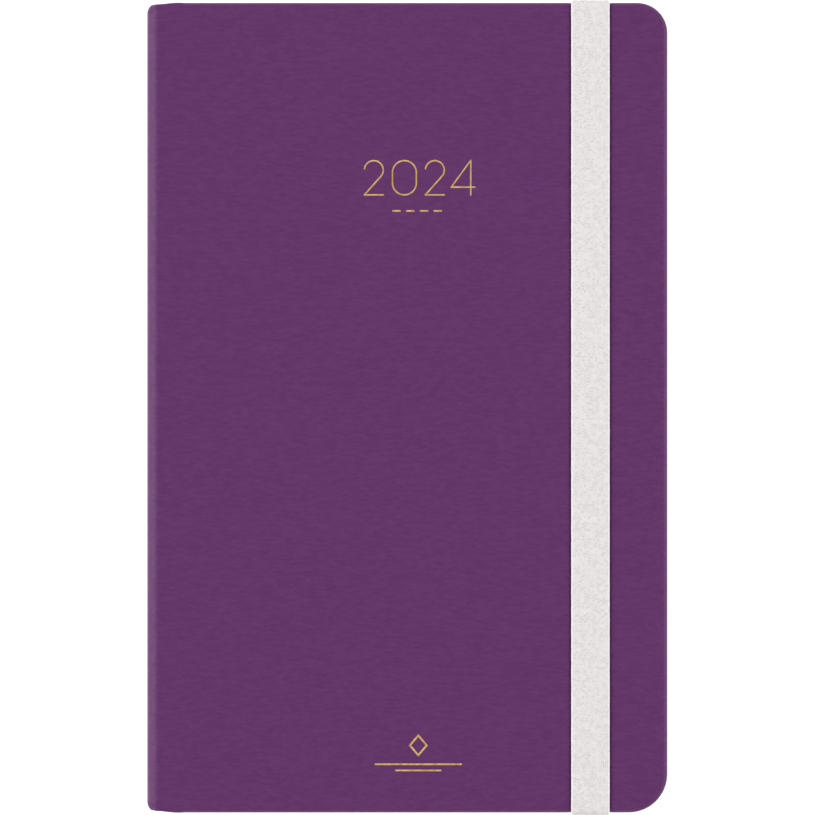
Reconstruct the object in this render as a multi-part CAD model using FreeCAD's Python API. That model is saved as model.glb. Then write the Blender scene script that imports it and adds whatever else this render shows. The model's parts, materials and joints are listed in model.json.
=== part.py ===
import FreeCAD, Part
import math
import os

# Hardcover year diary, lying on its back cover.
# +Z is the outward normal of the front cover, +X points to the fore-edge and +Y to the head.
# The origin is on the surface that the diary lies on, under the middle of its outline.
# Everything is in millimetres.

Vector = FreeCAD.Vector

# ---- driving dimensions -------------------------------------------------------------------
width = 135.0  # spine to fore-edge
height = 210.0  # head to tail
thickness = 15.6  # outer face to outer face, without the elastic

skin_t = 0.45  # leatherette
board_t = 2.0  # greyboard of both covers
pastedown_t = 0.15
flyleaf_t = 0.25
leaf_t = 0.15
leaf_count = 5  # leaves that turn on their own
signature_count = 12

head_corner_r = 7.8  # of the covers at the fore-edge
tail_corner_r = 10.0
spine_corner_r = 2.4
cover_edge_r = 1.2  # rounding of the outer edge of each cover
inner_edge_r = 0.7  # rounding where the leatherette turns in
spine_round_r = 3.0  # rounding between the spine and each cover
square = 2.0  # how far the covers stand past the pages
spine_height_loss = 0.4  # the unboarded spine is this much shorter at head and tail
turn_in = 12.0  # width of the leatherette folded onto the inside
turn_in_border = 3.0  # what stays in sight of it round the pastedown
pastedown_setback = 0.2  # from the board's near edge

board_from_spine = 9.5  # spine edge to the near edge of each board
hinge_from_spine = 6.5  # spine edge to the line that each cover folds on

spine_board_t = 1.2
spine_liner_t = 0.3
mull_t = 0.35
mull_margin = 13.0  # the mull is this much shorter than the pages at each end
thread_gap = 0.4  # space for the sewing between the mull and the folds
thread_r = 0.18
thread_margin = 20.0  # from the end of the pages to the middle of the last sewing station
tape_pair_gap = 10.0  # distance between the two strands of a sewing station
station_count = 5
fold_round = 0.42  # fold radius as a share of a signature's thickness

bead_r = 0.75  # head and tail bands
bead_gap = 0.03  # between the bead and the ends of the pages
bead_inset = 0.05  # how far the bead sinks into its tail
bead_rise = 0.6  # past the fixed pages
band_tail = 12.0  # length of cloth glued down the spine
band_tail_rise = 0.3  # how far that cloth covers the bead

gutter_from_spine = 10.0  # spine edge to the axis that the loose leaves turn on
leaf_start = 2.0  # the turning leaves start this far from that axis
gutter_gap = 0.2

page_corner_r = 6.0

elastic_w = 10.0
elastic_t = 0.65
elastic_from_fore_edge = 20.0  # to the middle of the band
elastic_gap = 0.05
elastic_tab_t = 0.5  # the band is pressed thinner under the pastedown
elastic_tab_depth = 20.0
elastic_channel_gap = 0.2

foil_groove = 0.12
foil_t = 0.05
stamp_depth = 1.0  # of the strokes before they are cut to the foil's layer
foil_stroke = 0.40
foil_groove_top = 0.5  # the groove is cut from this far above the cover
digit_h = 9.27
zero_w = 6.60
two_w = 5.29
two_start_deg = 176  # where the hook of the 2 begins
four_w = 6.5
four_stem_x = 5.25
four_cross_y = 2.2
digit_gaps = (1.98, 1.94, 1.42)
year_centre = (3.24, 59.6)
dash_centre = (2.6, 51.0)
dash_size = (2.2, 0.45)
dash_pitch = 3.57
dash_count = 4
lozenge_centre = (2.9, -87.5)
lozenge_size = (5.0, 5.9)
lozenge_inner = 0.736  # size of its opening as a share of its outline
rule_lengths = (22.6, 12.0)
rule_top_y = -92.4
rule_pitch = 1.6

join = 0.1  # overlap of solids that are fused into one
cut_past = 1.0  # how far a cutting solid runs past the surface

# ---- places worked out from them ----------------------------------------------------------
x_spine = -width / 2
x_fore = width / 2
y_head = height / 2
y_spine_end = y_head - spine_height_loss
x_hinge = x_spine + hinge_from_spine
x_board = x_spine + board_from_spine
x_gutter = x_spine + gutter_from_spine
z_top = thickness
z_inside = z_top - skin_t - board_t  # inner face of the front board
z_pastedown = z_inside - pastedown_t
z_flyleaf = z_pastedown - flyleaf_t
z_leaves = z_flyleaf - leaf_count * leaf_t  # top of the fixed pages
z_block = thickness - z_pastedown  # underside of the back flyleaf
z_signatures = z_block + flyleaf_t
signature_t = (z_leaves - z_signatures) / signature_count
x_spine_board = x_spine + skin_t
x_spine_liner = x_spine_board + spine_board_t
x_mull = x_spine_liner + spine_liner_t
x_thread = x_mull + mull_t
x_fold = x_thread + thread_gap
x_page_edge = x_fore - square
y_page = y_head - square
x_elastic = x_fore - elastic_from_fore_edge


def box(x0, x1, y0, y1, z0, z1):
    return Part.makeBox(x1 - x0, y1 - y0, z1 - z0, Vector(x0, y0, z0))


def plan_face(x0, x1, half_y, r_head, r_tail, r_back=0.0):
    """Outline seen from above: round corners at the fore-edge, and at the back if asked.
    r_head and r_tail are the fore-edge corners at the head and at the tail."""
    edges = []
    corners = [
        (x0, -half_y, r_back, 180),
        (x1, -half_y, r_tail, 270),
        (x1, half_y, r_head, 0),
        (x0, half_y, r_back, 90),
    ]
    starts = []
    ends = []
    for x, y, r, first in corners:
        cx = x + r if x == x0 else x - r
        cy = y + r if y < 0 else y - r
        a = [math.radians(first + step) for step in (0, 45, 90)]
        points = [Vector(cx + r * math.cos(t), cy + r * math.sin(t), 0) for t in a]
        starts.append(points[0])
        ends.append(points[2])
        if r > 0:
            edges.append(Part.Arc(*points).toShape())
    for i in range(4):
        edges.append(Part.LineSegment(ends[i], starts[(i + 1) % 4]).toShape())
    return Part.Face(Part.Wire(Part.__sortEdges__(edges)))


def plate(x0, x1, half_y, z0, z1, r_head, r_tail, r_back=0.0):
    shape = plan_face(x0, x1, half_y, r_head, r_tail, r_back).extrude(Vector(0, 0, z1 - z0))
    shape.translate(Vector(0, 0, z0))
    return shape


def soften(shape, z, radius, x_keep):
    """Round the outer edges at height z, except the straight one at x_keep."""
    chosen = []
    for edge in shape.Edges:
        b = edge.BoundBox
        flat = abs(b.ZMin - z) < 1e-6 and abs(b.ZMax - z) < 1e-6
        kept = abs(b.XMin - x_keep) < 1e-6 and abs(b.XMax - x_keep) < 1e-6
        if flat and not kept:
            chosen.append(edge)
    return shape.makeFillet(radius, chosen)


def cover_envelope():
    """Front cover with its leatherette, from the board's near edge to the fore-edge."""
    shape = plate(x_board, x_fore, y_head, z_inside, z_top, head_corner_r, tail_corner_r)
    shape = soften(shape, z_top, cover_edge_r, x_board)
    return soften(shape, z_inside, inner_edge_r, x_board)


def front_board():
    inset_fore = x_fore - skin_t
    inset_head = y_head - skin_t
    r_head = head_corner_r - skin_t
    r_tail = tail_corner_r - skin_t
    z_upper = z_top - skin_t
    z_rebate = z_inside + skin_t
    upper = plate(x_board, inset_fore, inset_head, z_rebate, z_upper, r_head, r_tail)
    upper = soften(upper, z_upper, cover_edge_r - skin_t, x_board)
    upper = soften(upper, z_rebate, inner_edge_r - skin_t, x_board)
    window = plate(
        x_board,
        x_fore - turn_in,
        y_head - turn_in,
        z_inside,
        z_rebate + join,
        inner_edge_r,
        inner_edge_r,
    )
    return upper.fuse(window).removeSplitter()


def front_skin(board):
    flap = box(x_hinge, x_board + join, -y_spine_end, y_spine_end, z_top - skin_t, z_top)
    whole = cover_envelope().fuse(flap)
    return whole.cut(board).removeSplitter()


def front_pastedown():
    return plate(
        x_board + pastedown_setback,
        x_fore - turn_in_border,
        y_head - turn_in_border,
        z_pastedown,
        z_inside,
        head_corner_r - turn_in_border,
        tail_corner_r - turn_in_border,
    )


def to_back(shape):
    """The same piece on the back cover."""
    return shape.mirror(Vector(0, 0, thickness / 2), Vector(0, 0, 1))


# ---- elastic closure ----------------------------------------------------------------------
z_channel = thickness - z_inside - elastic_tab_t  # floor of the channel in the back cover
y_elastic = y_head + elastic_gap
z_elastic = z_top + elastic_gap


def elastic_channel(side):
    half = elastic_w / 2 + elastic_channel_gap
    y_inner = side * (y_head - elastic_tab_depth - elastic_channel_gap)
    y_outer = side * (y_head + cut_past)
    low, high = sorted((y_inner, y_outer))
    z_roof = thickness - z_inside
    return box(x_elastic - half, x_elastic + half, low, high, z_channel, z_roof)


def elastic_tab(side):
    low, high = sorted((side * (y_head - elastic_tab_depth), side * y_elastic))
    z_roof = thickness - z_inside
    half = elastic_w / 2
    return box(x_elastic - half, x_elastic + half, low, high, z_channel, z_roof)


def elastic_band():
    """Over the front cover and down past the head and the tail to the two tabs."""
    inner_r = cover_edge_r + elastic_gap
    outer_r = inner_r + elastic_t
    outer = rounded_arch(y_elastic + elastic_t, z_elastic + elastic_t, outer_r)
    inner = rounded_arch(y_elastic, z_elastic, inner_r)
    return outer.cut(inner)


def rounded_arch(half_y, z_high, r):
    """Solid under an arch in the YZ plane, as wide as the elastic."""
    diagonal = r * (1 - math.sqrt(0.5))
    left = [
        Vector(0, -half_y, z_high - r),
        Vector(0, -half_y + diagonal, z_high - diagonal),
        Vector(0, -half_y + r, z_high),
    ]
    right = [Vector(0, -p.y, p.z) for p in reversed(left)]
    feet = [Vector(0, half_y, z_channel), Vector(0, -half_y, z_channel)]
    edges = [
        Part.Arc(*left).toShape(),
        Part.LineSegment(left[2], right[0]).toShape(),
        Part.Arc(*right).toShape(),
        Part.LineSegment(right[2], feet[0]).toShape(),
        Part.LineSegment(feet[0], feet[1]).toShape(),
        Part.LineSegment(feet[1], left[0]).toShape(),
    ]
    shape = Part.Face(Part.Wire(edges)).extrude(Vector(elastic_w, 0, 0))
    shape.translate(Vector(x_elastic - elastic_w / 2, 0, 0))
    return shape


# ---- spine --------------------------------------------------------------------------------
def spine_profile(inset):
    """Region enclosed by the spine's skin in the XZ plane, inset from its outer face."""
    r = spine_round_r - inset
    low = inset
    high = z_top - inset
    left = x_spine + inset
    diagonal = r * (1 - math.sqrt(0.5))
    top = [
        Vector(left + r, 0, high),
        Vector(left + diagonal, 0, high - diagonal),
        Vector(left, 0, high - r),
    ]
    bottom = [
        Vector(left, 0, low + r),
        Vector(left + diagonal, 0, low + diagonal),
        Vector(left + r, 0, low),
    ]
    start = Vector(x_hinge, 0, high)
    end = Vector(x_hinge, 0, low)
    edges = [
        Part.LineSegment(start, top[0]).toShape(),
        Part.Arc(*top).toShape(),
        Part.LineSegment(top[2], bottom[0]).toShape(),
        Part.Arc(*bottom).toShape(),
        Part.LineSegment(bottom[2], end).toShape(),
        Part.LineSegment(end, start).toShape(),
    ]
    shape = Part.Face(Part.Wire(edges)).extrude(Vector(0, 2 * y_spine_end, 0))
    shape.translate(Vector(0, -y_spine_end, 0))
    return shape


def spine_skin():
    shell = spine_profile(0).cut(spine_profile(skin_t))
    plan = plate(x_spine, x_hinge, y_spine_end, 0, z_top, 0, 0, spine_corner_r)
    return shell.common(plan)


def spine_layer(x0, depth, half_y):
    z_low = spine_round_r
    return box(x0, x0 + depth, -half_y, half_y, z_low, z_top - z_low)


def sewing_thread():
    """Strands that cross the folds in pairs, one pair at each sewing station."""
    strands = []
    span = 2 * (y_page - thread_margin)
    for station in range(station_count):
        y_station = -span / 2 + span * station / (station_count - 1)
        for side in (-0.5, 0.5):
            base = Vector(x_thread + thread_gap / 2, y_station + side * tape_pair_gap, z_signatures)
            length = z_leaves - z_signatures
            strands.append(Part.makeCylinder(thread_r, length, base, Vector(0, 0, 1)))
    return Part.makeCompound(strands)


def end_band(side):
    """Cloth bead over the end of the fold edges, on a tail glued down the spine."""
    z_low = z_signatures
    z_high = z_leaves + bead_rise
    bead_y = y_page + bead_r + bead_gap
    y_low = y_page - band_tail
    y_high = bead_y + band_tail_rise
    tail = box(x_mull, x_thread, y_low, y_high, spine_round_r, z_top - spine_round_r)
    base = Vector(x_thread + bead_r - bead_inset, bead_y, z_low)
    bead = Part.makeCylinder(bead_r, z_high - z_low, base, Vector(0, 0, 1))
    shape = tail.fuse(bead).removeSplitter()
    if side < 0:
        shape = shape.mirror(Vector(0, 0, 0), Vector(0, 1, 0))
    return shape


# ---- pages --------------------------------------------------------------------------------
def signature(index):
    """Folded and sewn sheets; the fold is round and the fore-edge corners are cut round."""
    z0 = z_signatures + index * signature_t
    z1 = z0 + signature_t
    shape = plate(x_fold, x_page_edge, y_page, z0, z1, page_corner_r, page_corner_r)
    fold_edges = []
    for edge in shape.Edges:
        b = edge.BoundBox
        if abs(b.XMax - x_fold) < 1e-6 and b.YLength > height / 2:
            fold_edges.append(edge)
    return shape.makeFillet(signature_t * fold_round, fold_edges)


def last_signature():
    """Top signature, with the bound strip that the loose leaves grow out of."""
    strip = box(x_fold + signature_t, x_gutter - gutter_gap, -y_page, y_page, z_leaves, z_pastedown)
    return signature(signature_count - 1).fuse(strip).removeSplitter()


def turning_leaf(z0, depth):
    x0 = x_gutter + leaf_start
    return plate(x0, x_page_edge, y_page, z0, z0 + depth, page_corner_r, page_corner_r)


def back_flyleaf():
    return plate(x_fold, x_page_edge, y_page, z_block, z_signatures, page_corner_r, page_corner_r)


# ---- foil stamping ------------------------------------------------------------------------
def bar(p, q, stroke):
    """Straight stroke with square ends, from p to q in the XY plane."""
    length = math.hypot(q[0] - p[0], q[1] - p[1])
    shape = Part.makeBox(length, stroke, stamp_depth, Vector(0, -stroke / 2, 0))
    angle = math.degrees(math.atan2(q[1] - p[1], q[0] - p[0]))
    shape.rotate(Vector(0, 0, 0), Vector(0, 0, 1), angle)
    shape.translate(Vector(p[0], p[1], 0))
    return shape


def curved_bar(centre, radius, first, last, stroke):
    """Stroke along a circle from angle first to angle last, in degrees, anticlockwise."""
    base = Vector(0, 0, 0)
    up = Vector(0, 0, 1)
    sweep = last - first
    outer = Part.makeCylinder(radius + stroke / 2, stamp_depth, base, up, sweep)
    inner = Part.makeCylinder(radius - stroke / 2, stamp_depth, base, up, sweep)
    shape = outer.cut(inner)
    shape.rotate(Vector(0, 0, 0), Vector(0, 0, 1), first)
    shape.translate(Vector(centre[0], centre[1], 0))
    return shape


def digit_zero():
    w = zero_w
    r = (w - foil_stroke) / 2
    low = foil_stroke / 2 + r
    high = digit_h - low
    middle = w / 2
    strokes = [
        curved_bar((middle, high), r, 0, 180, foil_stroke),
        curved_bar((middle, low), r, 180, 360, foil_stroke),
        bar((middle - r, low), (middle - r, high), foil_stroke),
        bar((middle + r, low), (middle + r, high), foil_stroke),
    ]
    return strokes, w


def digit_two():
    w = two_w
    half = foil_stroke / 2
    r = w / 2 - half
    centre = (w / 2, digit_h - half - r)
    foot = (half, half)
    away = math.hypot(centre[0] - foot[0], centre[1] - foot[1])
    towards_foot = math.atan2(foot[1] - centre[1], foot[0] - centre[0])
    leave = towards_foot + math.acos(r / away)
    touch = (centre[0] + r * math.cos(leave), centre[1] + r * math.sin(leave))
    strokes = [
        curved_bar(centre, r, math.degrees(leave), two_start_deg, foil_stroke),
        bar(touch, foot, foil_stroke),
        bar((0, half), (w, half), foil_stroke),
    ]
    return strokes, w


def digit_four():
    half = foil_stroke / 2
    strokes = [
        bar((four_stem_x, 0), (four_stem_x, digit_h), foil_stroke),
        bar((0, four_cross_y), (four_w, four_cross_y), foil_stroke),
        bar((half, four_cross_y), (four_stem_x - join / 2, digit_h - half), foil_stroke),
    ]
    return strokes, four_w


def joined(strokes):
    return strokes[0].multiFuse(strokes[1:]).removeSplitter()


def foil_year():
    digits = [digit_two(), digit_zero(), digit_two(), digit_four()]
    total = sum(w for strokes, w in digits) + sum(digit_gaps)
    x = year_centre[0] - total / 2
    shapes = []
    for (strokes, w), gap in zip(digits, digit_gaps + (0,)):
        shape = joined(strokes)
        shape.translate(Vector(x, year_centre[1] - digit_h / 2, 0))
        shapes.append(shape)
        x += w + gap
    return shapes


def foil_dashes():
    shapes = []
    for i in range(dash_count):
        x = dash_centre[0] + (i - (dash_count - 1) / 2) * dash_pitch
        left = (x - dash_size[0] / 2, dash_centre[1])
        right = (x + dash_size[0] / 2, dash_centre[1])
        shapes.append(bar(left, right, dash_size[1]))
    return shapes


def foil_ornament():
    """A plain open lozenge over two centred rules."""
    x, y = lozenge_centre
    shapes = []
    outlines = []
    for scale in (1.0, lozenge_inner):
        dx = lozenge_size[0] / 2 * scale
        dy = lozenge_size[1] / 2 * scale
        points = [Vector(x + dx, y, 0), Vector(x, y + dy, 0), Vector(x - dx, y, 0), Vector(x, y - dy, 0)]
        face = Part.Face(Part.makePolygon(points + points[:1]))
        outlines.append(face.extrude(Vector(0, 0, stamp_depth)))
    shapes.append(outlines[0].cut(outlines[1]))
    for i, length in enumerate(rule_lengths):
        y_rule = rule_top_y - i * rule_pitch
        shapes.append(bar((x - length / 2, y_rule), (x + length / 2, y_rule), dash_size[1]))
    return shapes


def at_heights(shapes, z0, z1):
    """The stamp shapes, cut to the layer from z0 to z1."""
    layer = box(x_spine, x_fore, -y_head, y_head, z0, z1)
    cut = []
    for shape in shapes:
        moved = shape.copy()
        moved.translate(Vector(0, 0, z0 - join))
        cut.append(moved.common(layer))
    return Part.makeCompound(cut)


# ---- writing the pieces -------------------------------------------------------------------
nodes = {}


def add(name, shape):
    if not shape.isValid() or shape.Volume <= 0:
        raise ValueError("bad shape: " + name)
    nodes[name] = shape


def add_front_cover():
    board = front_board()
    skin = front_skin(board)
    stamps = {
        "foil_year": foil_year(),
        "foil_dashes": foil_dashes(),
        "foil_ornament": foil_ornament(),
    }
    z_groove = z_top - foil_groove
    for name, shapes in stamps.items():
        skin = skin.cut(at_heights(shapes, z_groove, z_top + foil_groove_top))
        add(name, at_heights(shapes, z_groove, z_groove + foil_t))
    add("front_cover_skin", skin)
    add("front_board", board)
    add("front_pastedown", front_pastedown())


def add_back_cover():
    board = to_back(front_board())
    skin = to_back(front_skin(front_board()))
    for side in (1, -1):
        channel = elastic_channel(side)
        board = board.cut(channel)
        skin = skin.cut(channel)
    add("back_board", board)
    add("back_cover_skin", skin)
    add("back_pastedown", to_back(front_pastedown()))
    add("elastic_head_tab", elastic_tab(1))
    add("elastic_tail_tab", elastic_tab(-1))


def add_spine():
    add("spine_skin", spine_skin())
    add("spine_board", spine_layer(x_spine_board, spine_board_t, y_spine_end - spine_corner_r))
    add("spine_liner", spine_layer(x_spine_liner, spine_liner_t, y_page))
    add("spine_mull", spine_layer(x_mull, mull_t, y_page - mull_margin))
    add("headband", end_band(1))
    add("tailband", end_band(-1))
    add("sewing_thread", sewing_thread())


def add_pages():
    add("back_flyleaf", back_flyleaf())
    for index in range(signature_count - 1):
        add("signature_%02d" % (index + 1), signature(index))
    add("signature_%02d" % signature_count, last_signature())
    for index in range(leaf_count):
        z0 = z_flyleaf - (index + 1) * leaf_t
        add("leaf_%d" % (index + 1), turning_leaf(z0, leaf_t))
    add("front_flyleaf", turning_leaf(z_flyleaf, flyleaf_t))


add_front_cover()
add_back_cover()
add_spine()
add_pages()
add("elastic_band", elastic_band())

os.makedirs("parts", exist_ok=True)
for name, shape in nodes.items():
    shape.exportStep("parts/" + name + ".step")
    print(name, len(shape.Solids), round(shape.Volume, 2))
print("hinge line x", x_hinge, "gutter x", x_gutter, "leaf axis z", z_leaves)
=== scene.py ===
import json
import math
import random

import bmesh
import bpy
import numpy as np
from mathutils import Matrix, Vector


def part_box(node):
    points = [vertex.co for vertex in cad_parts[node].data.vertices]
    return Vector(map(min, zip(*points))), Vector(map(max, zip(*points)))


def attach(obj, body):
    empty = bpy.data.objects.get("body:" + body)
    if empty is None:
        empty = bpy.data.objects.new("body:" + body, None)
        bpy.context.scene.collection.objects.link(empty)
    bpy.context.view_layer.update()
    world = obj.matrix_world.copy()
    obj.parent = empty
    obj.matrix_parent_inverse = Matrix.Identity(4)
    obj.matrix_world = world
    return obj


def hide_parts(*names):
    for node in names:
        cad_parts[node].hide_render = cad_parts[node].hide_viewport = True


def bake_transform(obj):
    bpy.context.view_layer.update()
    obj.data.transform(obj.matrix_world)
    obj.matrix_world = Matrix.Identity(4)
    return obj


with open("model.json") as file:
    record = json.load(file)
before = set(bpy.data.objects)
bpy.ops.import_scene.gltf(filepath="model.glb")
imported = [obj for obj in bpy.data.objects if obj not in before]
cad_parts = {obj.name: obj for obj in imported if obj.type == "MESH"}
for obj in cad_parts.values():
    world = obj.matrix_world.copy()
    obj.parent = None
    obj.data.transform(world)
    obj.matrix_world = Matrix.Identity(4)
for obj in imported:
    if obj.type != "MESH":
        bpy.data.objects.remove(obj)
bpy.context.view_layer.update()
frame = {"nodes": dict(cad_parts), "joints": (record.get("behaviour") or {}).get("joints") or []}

# A closed hardcover year diary, lying on its back cover, seen from straight above.
# Lengths in this script are millimetres, and mesh_piece() turns them into metres.
MM = 0.001
nodes = frame["nodes"]
joints = {j["name"]: j for j in frame["joints"]}


def extent(*names):
    """Lowest and highest corner of these CAD nodes together, in millimetres."""
    boxes = [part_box(n) for n in names]
    low = [min(b[0][i] for b in boxes) / MM for i in range(3)]
    high = [max(b[1][i] for b in boxes) / MM for i in range(3)]
    return low, high


# ---- sizes and places, from the frame -----------------------------------------------------
cover_low, cover_high = extent("front_cover_skin", "back_cover_skin", "spine_skin")
X_SPINE, X_FORE = cover_low[0], cover_high[0]
HALF_H = cover_high[1]
THICK = cover_high[2]
SPINE_HALF_H = extent("spine_skin")[1][1]
Z_INSIDE = extent("front_cover_skin")[0][2]  # inner face of the front board
Z_PASTED = extent("front_pastedown")[0][2]
PASTED_FORE, PASTED_HALF = extent("front_pastedown")[1][0], extent("front_pastedown")[1][1]
X_BOARD = extent("front_board")[0][0]
X_HINGE = joints["front_cover_hinge"]["pos_m"][0] / MM
X_GUTTER = joints["front_flyleaf_turn"]["pos_m"][0] / MM
X_FOLD = extent("signature_01")[0][0]
X_PAGE = extent("signature_01")[1][0]
PAGE_HALF = extent("signature_01")[1][1]
BAND_LOW, BAND_HIGH = extent("elastic_band")
TAB_LOW, TAB_HIGH = extent("elastic_head_tab")

SKIN = 0.45  # leatherette
COVER_T = THICK - Z_INSIDE  # board with its leatherette
HEAD_CORNER = 7.8  # plan radius of the covers at the fore-edge
TAIL_CORNER = 10.0
FLAT_INSET = TAIL_CORNER  # the grid on the flat of a cover stops this far from its edges
SPINE_CORNER = 2.4  # plan radius at the spine
EDGE_R = 1.2  # rounding of the outer edges
INNER_R = 0.7  # rounding where the leatherette turns in
PAGE_CORNER = 6.0
PAGE_CORNERS = (PAGE_CORNER, PAGE_CORNER)
SPINE_ROUND = 3.0  # rounding between the spine and each cover
SPINE_EDGE = 1.5  # rounding of the spine's ends, in depth
TURN_IN = 12.0  # width of the leatherette folded onto the inside
JOINT_TURN_IN = 3.4  # the same over the joint
SPINE_TURN_IN = 1.55  # and on the spine
JOINT_EDGE_R = 0.55  # roundings of the edge over the joint
JOINT_INNER_R = 0.5
JOINT_T = 1.1  # two layers of leatherette over the joint
SPINE_T = 2.1  # leatherette and spine board
PRESS = 0.2  # how deep the elastic sinks into the leatherette
PRESS_EDGE = (0.75, 0.8)  # where that imprint starts beside the elastic, and over what width
PLEAT_DEPTH = 0.08  # folds of the turned-in leatherette at the corners
PLEAT_COUNT = 7  # round each corner
HINGE_ZONE = 1.3  # half width of the strip that bends
LEAF_ZONE = 10.0  # width of the strip of each leaf that bends at the gutter
CUT_ABOVE = 0.6  # how far the foil's cutter stands above the cover

CHANNEL_GAP = 0.2  # round each glued end of the elastic
CHANNEL_FLOOR = 0.02  # under it
CHANNEL_OPEN = 0.3  # how far the cutter runs past it, towards the pages
CHANNEL_PAST = 1.0  # and past the cover's edge
BAND_GAP = 0.05  # between the elastic and the covers
FOOT_R = 0.47  # bend of the elastic where it comes out from under the endpaper
WALE = 0.5556  # width of one column of stitches in the elastic
POINTS_PER_WALE = 5
COURSE = 0.80  # length of one stitch
RIB = 0.045  # how deep the elastic is grooved between its columns
SELVEDGE = 0.35  # rounded part of each edge of the elastic
WHITE_EDGE = 0.45  # the elastic grows whiter from this far inside its edge
FULL_WHITE = 0.2  # to this far
SELVEDGE_SHARE = 0.30  # of the elastic's thickness that is left at its very edge
WOVEN_SHARE = 0.995  # of the elastic's width that its mesh takes up
SWAY = 0.02  # how far the elastic strays sideways

BORDER = X_FORE - PASTED_FORE  # leatherette left in sight round the endpaper
PASTED_CORNERS = (HEAD_CORNER - BORDER, TAIL_CORNER - BORDER)
PASTED_SHARE = 0.9  # of its CAD thickness that the endpaper takes up
JOINT_RISE = 1.22  # how far the endpaper goes up into the joint
JOINT_HALF = 2.4  # half the width of the joint
JOINT_SLOPE = 1.9  # width over which the endpaper rises
SHEET_SHARE = 0.86  # of its CAD thickness that a leaf takes up
LEAVES_PER_SIGNATURE = 8
FOLD_ROUND = 0.33  # how far the outer leaves of a signature fall back at the fold
FOLD_REACH = 0.96  # how much of that half circle the leaves span
SIGNATURE_GAP = 0.045  # left open between two signatures
RULE_PITCH = 6.5
RULE_HALF = 0.11  # half the width of a rule
UPRIGHT_HALF = 0.12
RULE_LEFT, RULE_RIGHT = X_GUTTER + 9.0, X_PAGE - 8.0  # margins of the printed area
RULE_TAIL, RULE_HEAD = -PAGE_HALF + 11.0, PAGE_HALF - 24.0
HEAD_RULE = (PAGE_HALF - 19.7, PAGE_HALF - 19.0)  # the thicker one above them

BEAD_R = 0.75  # head and tail bands
BEAD_GAP = 0.03  # between the bead and the ends of the pages
BEAD_SHORT = 0.2  # how far its upper end stays under the front endpaper
BEAD_END = 0.3  # rounding of its ends
WINDING = 0.05  # height of the thread wound round it
STRIPE = 0.62  # width of one of its stripes


def smooth(t):
    t = min(max(t, 0.0), 1.0)
    return t * t * (3 - 2 * t)


def mix(a, b, t):
    return a + (b - a) * t


# ---- mesh helpers -------------------------------------------------------------------------
def mesh_piece(name, points, faces, values=None):
    """A mesh from points in millimetres. values holds named numbers, one for each point."""
    mesh = bpy.data.meshes.new(name)
    mesh.from_pydata([[c * MM for c in p] for p in points], [], faces)
    for key, numbers in (values or {}).items():
        attribute = mesh.attributes.new(key, "FLOAT", "POINT")
        attribute.data.foreach_set("value", np.array(numbers, np.float32))
    piece = bpy.data.objects.new(name, mesh)
    bpy.context.scene.collection.objects.link(piece)
    return piece


def clean(piece, apart=0.002):
    """Merges points closer than apart and drops the faces that collapse."""
    bm = bmesh.new()
    bm.from_mesh(piece.data)
    bmesh.ops.remove_doubles(bm, verts=bm.verts, dist=apart * MM)
    bmesh.ops.dissolve_degenerate(bm, edges=bm.edges, dist=1e-7)
    bmesh.ops.recalc_face_normals(bm, faces=bm.faces)
    bm.to_mesh(piece.data)
    bm.free()
    return piece


def apply_modifiers(piece):
    """Puts the evaluated mesh in place of the piece's own."""
    graph = bpy.context.evaluated_depsgraph_get()
    mesh = bpy.data.meshes.new_from_object(piece.evaluated_get(graph), depsgraph=graph)
    piece.modifiers.clear()
    old = piece.data
    piece.data = mesh
    mesh.name = piece.name
    bpy.data.meshes.remove(old)
    return piece


def cut(piece, cutter):
    """Takes the cutter out of the piece and removes it."""
    m = piece.modifiers.new("cut", "BOOLEAN")
    m.operation = "DIFFERENCE"
    m.solver = "EXACT"
    m.object = cutter
    apply_modifiers(piece)
    bpy.data.objects.remove(cutter)


def finish_piece(piece, material, sharp_deg=35):
    """Outward normals, smooth shading with sharp creases, the rest position, and the finish."""
    bm = bmesh.new()
    bm.from_mesh(piece.data)
    bmesh.ops.recalc_face_normals(bm, faces=bm.faces)
    for face in bm.faces:
        face.smooth = True
    for edge in bm.edges:
        if len(edge.link_faces) == 2:
            edge.smooth = edge.calc_face_angle(0) < math.radians(sharp_deg)
    bm.to_mesh(piece.data)
    bm.free()
    rest = piece.data.attributes.new("rest", "FLOAT_VECTOR", "POINT")
    co = np.zeros(len(piece.data.vertices) * 3, np.float32)
    piece.data.vertices.foreach_get("co", co)
    rest.data.foreach_set("vector", co)
    piece.data.materials.clear()
    piece.data.materials.append(material)


def strip_faces(rings, count, closed):
    """Quads between consecutive rings of points, each ring holding count points."""
    faces = []
    last = count if closed else count - 1
    for r in range(rings - 1):
        here, there = r * count, (r + 1) * count
        for i in range(last):
            j = (i + 1) % count
            faces.append((here + i, here + j, there + j, there + i))
    return faces


# ---- node material helpers ----------------------------------------------------------------
def new_material(name, **sockets):
    material = bpy.data.materials.new(name)
    material.use_nodes = True
    shader = material.node_tree.nodes["Principled BSDF"]
    for key, value in sockets.items():
        shader.inputs[key.replace("_", " ")].default_value = value
    return material, material.node_tree, shader


def node(tree, kind, links=None, **settings):
    """Adds a shader node. links maps its inputs to a number, a colour or a node's output."""
    n = tree.nodes.new(kind)
    for key, value in settings.items():
        setattr(n, key, value)
    for key, value in (links or {}).items():
        if isinstance(value, bpy.types.NodeSocket):
            tree.links.new(value, n.inputs[key])
        else:
            n.inputs[key].default_value = value
    return n


def maths(tree, operation, a, b=0.0, c=0.0):
    n = node(tree, "ShaderNodeMath", {0: a, 1: b, 2: c}, operation=operation)
    return n.outputs[0]


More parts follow.
